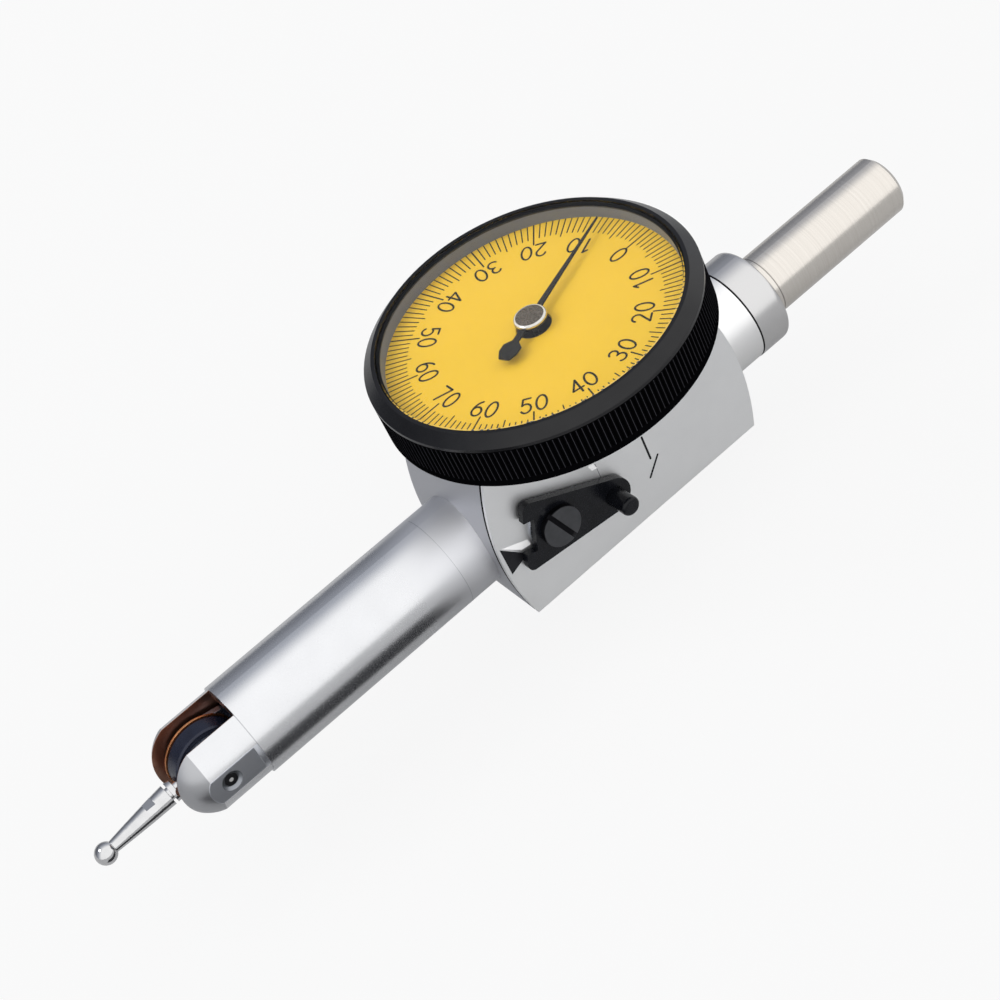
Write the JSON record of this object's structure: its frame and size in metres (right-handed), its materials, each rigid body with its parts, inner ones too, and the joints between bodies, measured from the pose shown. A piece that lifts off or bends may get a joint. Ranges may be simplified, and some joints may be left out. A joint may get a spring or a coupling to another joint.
{
  "type": "dial test indicator",
  "caption": "Lever dial test indicator with a swivelling ball stylus, geared lever movement, turning knurled bezel, side reversing lever and plain round mounting stem.",
  "frame": {"origin": "on the stem's axis, at the collar's outer face, where a holder stops against it", "axes": "+X along the stem, away from the body; +Z out of the dial; the reversing lever is on the -Y side"},
  "size_m": [0.0927, 0.0302, 0.0217],
  "materials": {
    "ground_steel": "ground along the axis",
    "satin_chrome": "satin",
    "cover_steel": "fine matt",
    "polished_chrome": "polished",
    "lever_steel": "satin",
    "blued_steel": "blued",
    "bronze": "rolled",
    "movement_steel": "turned",
    "movement_brass": "brushed",
    "dark_brass": "dark bronzed",
    "spring_steel": "bright",
    "case_aluminium": "black anodised",
    "black_anodised": "black anodised, knurled",
    "black_oxide": "black oxide",
    "crystal_glass": "clear",
    "gasket_rubber": "matt",
    "yellow_dial": "satin, printed",
    "black_pointer": "semi-matt",
    "slip_plastic": "matt",
    "ruby": "polished"
  },
  "bodies": {
    "frame": {"stem": "ground_steel", "housing": "satin_chrome", "side_cover": "cover_steel", "barrel_tube": "satin_chrome", "nose_fork": "satin_chrome", "pivot_screws": "movement_steel", "dial_case": "case_aluminium", "case_screws": "movement_steel", "retaining_wire": "spring_steel", "hairspring": "spring_steel", "hairspring_stud": "movement_brass", "movement_plate": "movement_brass", "plate_screws": "movement_steel", "pillars": "movement_brass", "movement_bridge": "movement_brass", "bridge_screws": "movement_steel", "stop_pins": "movement_steel", "centre_cock": "movement_brass", "movement_jewels": "ruby", "centre_jewels": "ruby", "clutch_washer": "spring_steel", "reversing_spring": "spring_steel"},
    "bezel": {"bezel_ring": "black_anodised", "crystal": "crystal_glass", "crystal_gasket": "gasket_rubber", "dial_plate": "yellow_dial", "friction_ring": "slip_plastic"},
    "pointer": {"pointer": "black_pointer", "pointer_hub": "dark_brass", "centre_arbor": "movement_steel", "hairspring_collet": "movement_brass"},
    "crown_wheel": {"crown_wheel": "movement_brass", "crown_arbor": "movement_steel"},
    "sector": {"sector_gear": "movement_brass", "sector_arbor": "movement_steel"},
    "lever": {"lever_yoke": "lever_steel", "lever_bush": "movement_steel", "friction_washer": "bronze", "tail_pin": "movement_steel"},
    "stylus": {"hub_disc": "blued_steel", "stylus_shank": "polished_chrome", "stylus_ball": "polished_chrome"},
    "clutch": {"clutch_lever": "black_oxide", "clutch_cam": "movement_steel", "clutch_screw": "black_oxide", "grip_pin": "black_oxide"}
  },
  "joints": [
    {"name": "pointer_turn", "type": "hinge", "parent": "frame", "child": "pointer", "pos_m": [-0.0207, 0, 0], "axis": [0, 0, 1], "range_deg": [-283, 283], "stiffness_Nm_per_rad": 0.0000012},
    {"name": "crown_turn", "type": "hinge", "parent": "frame", "child": "crown_wheel", "pos_m": [-0.0207, 0, 0], "axis": [0, 1, 0], "range_deg": [-36.8, 36.8]},
    {"name": "sector_turn", "type": "hinge", "parent": "frame", "child": "sector", "pos_m": [-0.0297, 0, 0], "axis": [0, 1, 0], "range_deg": [-4.6, 4.6]},
    {"name": "lever_swing", "type": "hinge", "parent": "frame", "child": "lever", "pos_m": [-0.0637, 0, 0], "axis": [0, 1, 0], "range_deg": [-0.57, 0.57]},
    {"name": "stylus_swivel", "type": "hinge", "parent": "lever", "child": "stylus", "pos_m": [-0.0637, 0, 0], "axis": [0, 1, 0], "range_deg": [-106, 114]},
    {"name": "bezel_turn", "type": "hinge", "parent": "frame", "child": "bezel", "pos_m": [-0.0207, 0, 0], "axis": [0, 0, 1], "continuous": true},
    {"name": "clutch_turn", "type": "hinge", "parent": "frame", "child": "clutch", "pos_m": [-0.0293, 0, 0.0009], "axis": [0, -1, 0], "range_deg": [0, 31], "deforming": ["reversing_spring"]}
  ],
  "couplings": [
    {"joint": "crown_turn", "follows": "pointer_turn", "ratio": -0.125},
    {"joint": "sector_turn", "follows": "pointer_turn", "ratio": 0.015625},
    {"joint": "lever_swing", "follows": "pointer_turn", "ratio": -0.0019531}
  ]
}
